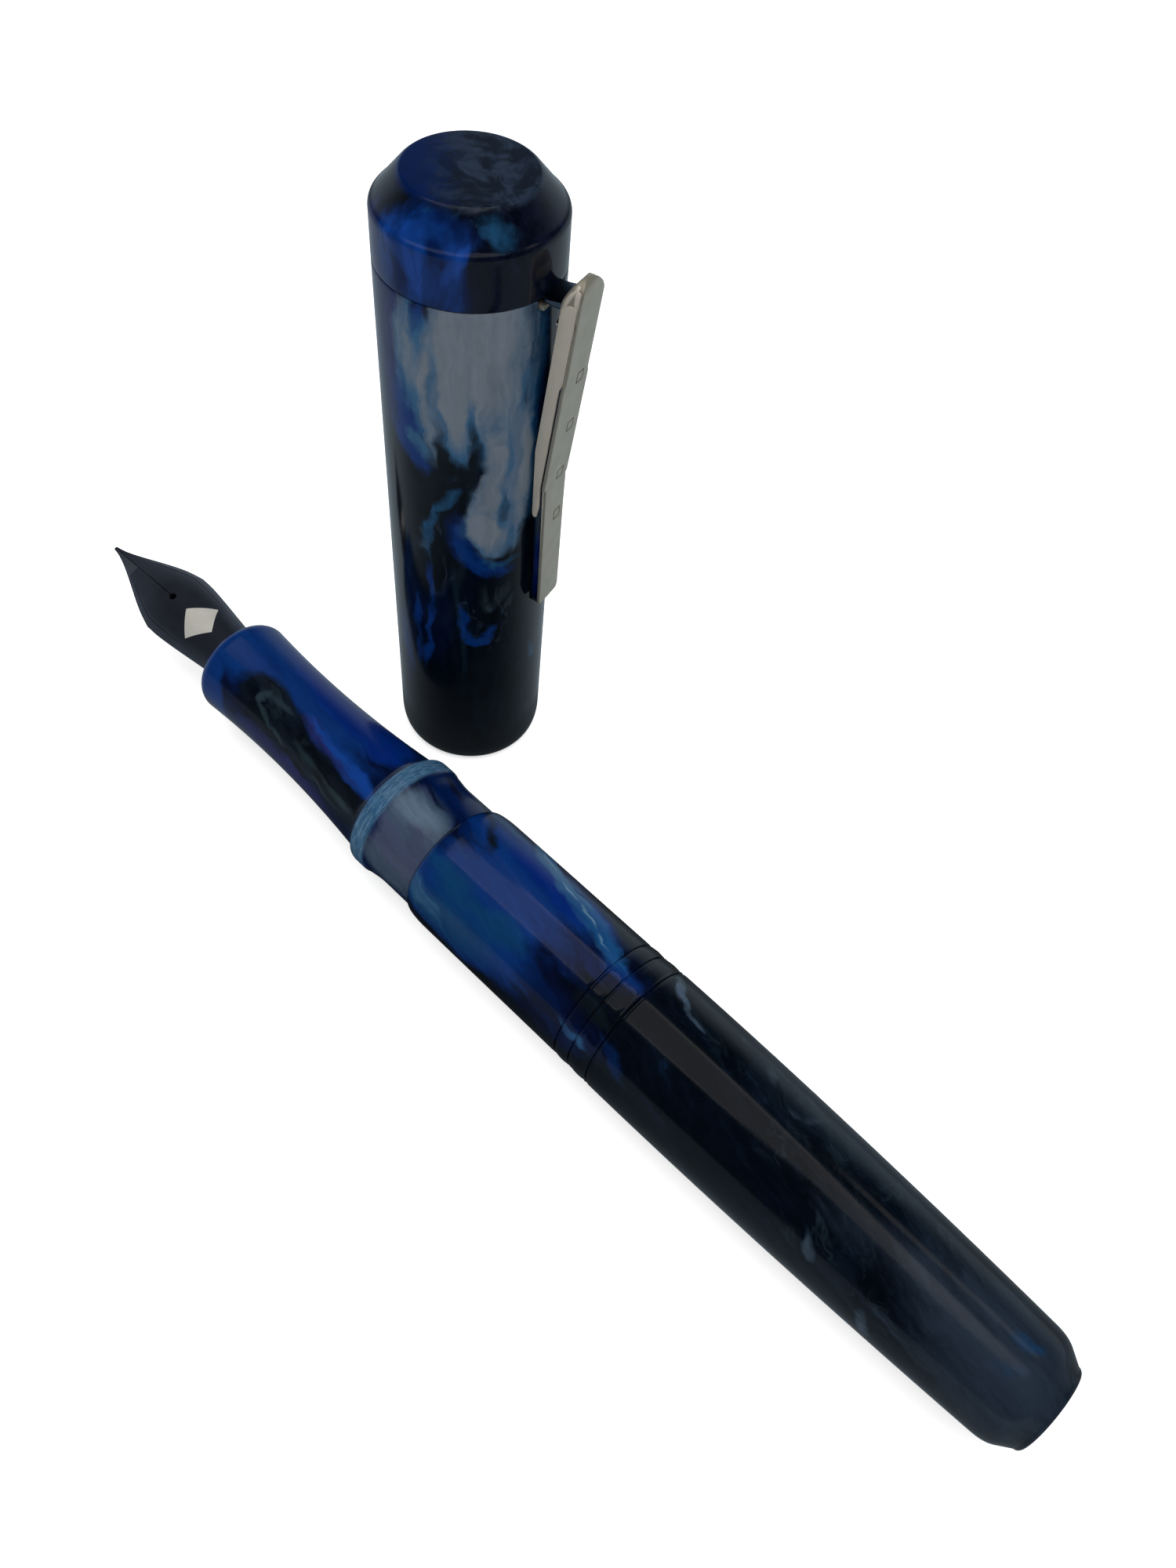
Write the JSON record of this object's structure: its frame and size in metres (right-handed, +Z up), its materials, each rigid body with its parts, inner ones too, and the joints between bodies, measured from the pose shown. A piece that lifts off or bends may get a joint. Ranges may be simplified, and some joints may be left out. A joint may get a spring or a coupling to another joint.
{
  "type": "fountain pen",
  "caption": "Resin fountain pen lying uncapped, with a screw-piston converter inside, beside its push-on cap, which stands on its mouth and carries a folded steel clip.",
  "frame": {"origin": "on the surface the pen and cap stand on, under the middle of the whole object's box", "axes": "+X runs along the pen from nib to tail, +Y from the pen towards the cap, +Z up"},
  "size_m": [0.1324, 0.0337, 0.0661],
  "materials": {
    "resin": "polished cast resin, marbled royal blue, navy, black and milky blue grey",
    "nib_coating": "black coated steel, satin gloss",
    "nib_alloy": "ground hard alloy",
    "black_plastic": "moulded black plastic",
    "clear_plastic": "clear moulded plastic",
    "satin_steel": "bead blasted stainless steel",
    "bright_steel": "bright plated",
    "rubber": "black rubber"
  },
  "bodies": {
    "barrel": {"barrel": "resin"},
    "section_seal": {"section_o_ring": "rubber"},
    "section": {"section": "resin"},
    "nib_housing": {"nib_housing": "black_plastic"},
    "nib": {"nib": "nib_coating", "nib_tipping": "nib_alloy", "feed": "black_plastic"},
    "converter": {"converter_mouth": "black_plastic", "converter_tube": "clear_plastic", "converter_sleeve": "bright_steel"},
    "converter_knob": {"converter_knob": "black_plastic"},
    "piston": {"converter_spindle": "black_plastic", "converter_piston": "black_plastic", "piston_seal_front": "rubber", "piston_seal_rear": "rubber"},
    "cap": {"cap_tube": "resin", "inner_cap": "black_plastic", "cap_clutch_ring": "clear_plastic", "clip_ring": "satin_steel"},
    "clip": {"clip": "satin_steel"},
    "finial_seal": {"finial_o_ring": "rubber"},
    "finial": {"cap_finial": "resin"}
  },
  "joints": [
    {"name": "section_draw", "type": "slide", "parent": "barrel", "child": "section_seal", "axis": [-1, 0, 0], "range_m": [0, 0.065]},
    {"name": "section_turn", "type": "hinge", "parent": "section_seal", "child": "section", "pos_m": [0, -0.00993, 0.00692], "axis": [-1, 0, 0], "range_deg": [0, 2520]},
    {"name": "nib_unit_advance", "type": "slide", "parent": "section", "child": "nib_housing", "axis": [-1, 0, 0], "range_m": [0, 0.0024]},
    {"name": "nib_unit_turn", "type": "hinge", "parent": "nib_housing", "child": "nib", "pos_m": [0, -0.00993, 0.00692], "axis": [-1, 0, 0], "range_deg": [0, 1450]},
    {"name": "converter_pull", "type": "slide", "parent": "section", "child": "converter", "axis": [1, 0, 0], "range_m": [0, 0.005]},
    {"name": "converter_knob_turn", "type": "hinge", "parent": "converter", "child": "converter_knob", "pos_m": [0, -0.00993, 0.00692], "axis": [1, 0, 0], "range_deg": [0, 2170]},
    {"name": "piston_travel", "type": "slide", "parent": "converter", "child": "piston", "axis": [1, 0, 0], "range_m": [0, 0.02]},
    {"name": "cap_lift", "type": "slide", "parent": "barrel", "child": "cap", "axis": [0, 0, 1], "range_m": [0, 0.09]},
    {"name": "clip_flex", "type": "hinge", "parent": "cap", "child": "clip", "pos_m": [-0.01615, 0.01073, 0.0583], "axis": [0.2317, -0.9728, 0], "range_deg": [0, 4], "stiffness_Nm_per_rad": 1.5},
    {"name": "finial_rise", "type": "slide", "parent": "cap", "child": "finial_seal", "axis": [0, 0, 1], "range_m": [0, 0.004]},
    {"name": "finial_turn", "type": "hinge", "parent": "finial_seal", "child": "finial", "pos_m": [-0.02427, 0.0088, 0.03], "axis": [0, 0, 1], "range_deg": [0, 1810]}
  ],
  "couplings": [
    {"joint": "nib_unit_turn", "follows": "nib_unit_advance", "rad_per_m": 10472},
    {"joint": "converter_knob_turn", "follows": "piston_travel", "rad_per_m": 1885},
    {"joint": "finial_turn", "follows": "finial_rise", "rad_per_m": 7854}
  ]
}
